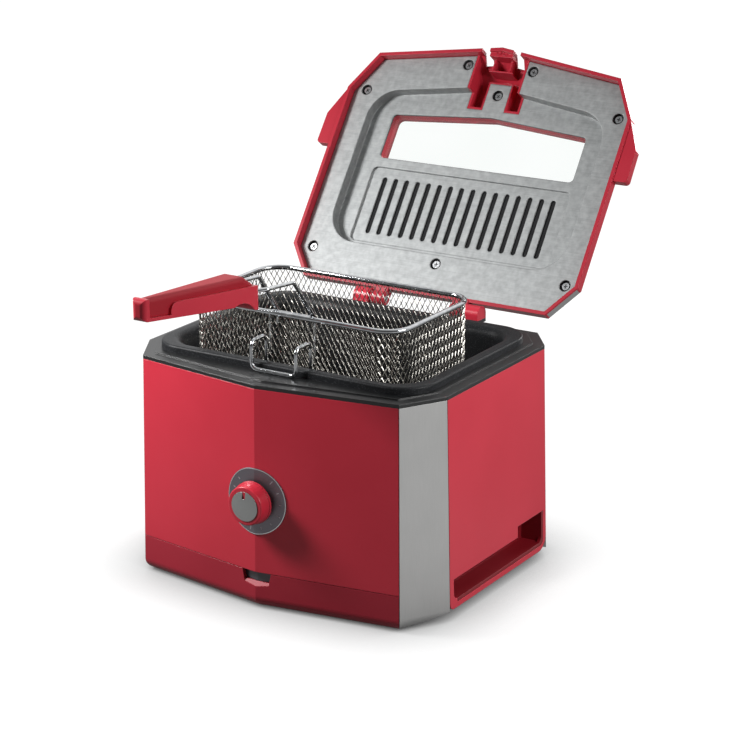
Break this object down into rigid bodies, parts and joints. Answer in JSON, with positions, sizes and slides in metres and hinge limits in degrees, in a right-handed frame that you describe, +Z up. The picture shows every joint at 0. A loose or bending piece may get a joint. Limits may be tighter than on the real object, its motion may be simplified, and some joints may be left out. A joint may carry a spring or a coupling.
{
  "type": "deep fryer",
  "caption": "Household deep fryer with a faceted housing, oil pot, hanging wire basket with a folded-wire handle, hinged lid with window and filter grille, and a thermostat dial.",
  "frame": {"origin": "on the floor plane under the middle of the body, at the middle foot", "axes": "+Z up, -Y towards the front with the knob, +X to the right seen from the front"},
  "size_m": [0.2948, 0.514, 0.37],
  "materials": {
    "red_plastic": "injection-moulded, satin gloss",
    "black_plastic": "injection-moulded, fine spark-eroded grain",
    "nonstick": "sprayed and baked non-stick coat",
    "strip_steel": "brushed sheet steel",
    "panel_steel": "pressed sheet steel, satin",
    "chrome_wire": "drawn wire, plated",
    "mesh_steel": "expanded steel sheet, plated",
    "dial_plate": "satin anodised plate",
    "cap_metal": "satin anodised disc",
    "glass": "clear toughened glass",
    "gasket": "moulded silicone",
    "lens": "smoked diffuser",
    "dark_plastic": "moulded plastic",
    "feet_rubber": "moulded rubber",
    "inner_steel": "aluminised sheet",
    "element_steel": "drawn steel tube",
    "copper_tube": "drawn copper tube",
    "ceramic": "glazed ceramic block",
    "filter_pad": "fibre pad",
    "charcoal_pad": "carbon-loaded foam",
    "zinc_screw": "zinc-plated steel"
  },
  "bodies": {
    "housing": {"front_panel": "red_plastic", "front_skirt": "red_plastic", "left_side_panel": "red_plastic", "right_side_panel": "red_plastic", "left_grip_pocket": "red_plastic", "right_grip_pocket": "red_plastic", "left_hinge_lug": "red_plastic", "right_hinge_lug": "red_plastic", "deck": "black_plastic", "back_panel": "black_plastic", "oil_pot": "nonstick", "front_left_strip": "strip_steel", "front_right_strip": "strip_steel", "back_left_strip": "strip_steel", "back_right_strip": "strip_steel", "drain_hook": "chrome_wire", "dial_ring": "dial_plate", "indicator_lens": "lens", "base_pan": "dark_plastic", "lamp_holder": "dark_plastic", "cord_gland": "dark_plastic", "thermostat_body": "dark_plastic", "feet": "feet_rubber", "heat_shield": "inner_steel", "heating_element": "element_steel", "thermal_cutout": "element_steel", "housing_posts": "element_steel", "thermostat_bulb": "copper_tube", "terminal_block": "ceramic", "base_screws": "zinc_screw", "hinge_pins": "zinc_screw"},
    "lid": {"lid_shell": "red_plastic", "lid_inner_panel": "panel_steel", "window_glass": "glass", "window_gasket": "gasket", "window_frame": "red_plastic", "grease_filter": "filter_pad", "charcoal_filter": "charcoal_pad", "lid_front_left_strip": "strip_steel", "lid_front_right_strip": "strip_steel", "lid_back_left_strip": "strip_steel", "lid_back_right_strip": "strip_steel", "lid_screws": "zinc_screw"},
    "basket": {"basket_mesh": "mesh_steel", "basket_rim": "chrome_wire", "handle_bracket": "chrome_wire", "handle_wires": "chrome_wire", "grip_lower": "red_plastic", "grip_cover": "red_plastic"},
    "knob": {"knob": "red_plastic", "knob_cap": "cap_metal", "thermostat_shaft": "element_steel"}
  },
  "joints": [
    {"name": "lid_hinge", "type": "hinge", "parent": "housing", "child": "lid", "pos_m": [0, 0.108, 0.1804], "axis": [-1, 0, 0], "range_deg": [-126, 0]},
    {"name": "basket_slide", "type": "slide", "parent": "housing", "child": "basket", "axis": [0, 0.0995, -0.995], "range_m": [0, 0.0603]},
    {"name": "knob_turn", "type": "hinge", "parent": "housing", "child": "knob", "pos_m": [0, -0.135, 0.086], "axis": [0, 1, 0], "range_deg": [0, 290]}
  ],
  "couplings": [
    {"joint": "basket_slide", "follows": "lid_hinge", "m_per_rad": -0.02742}
  ]
}
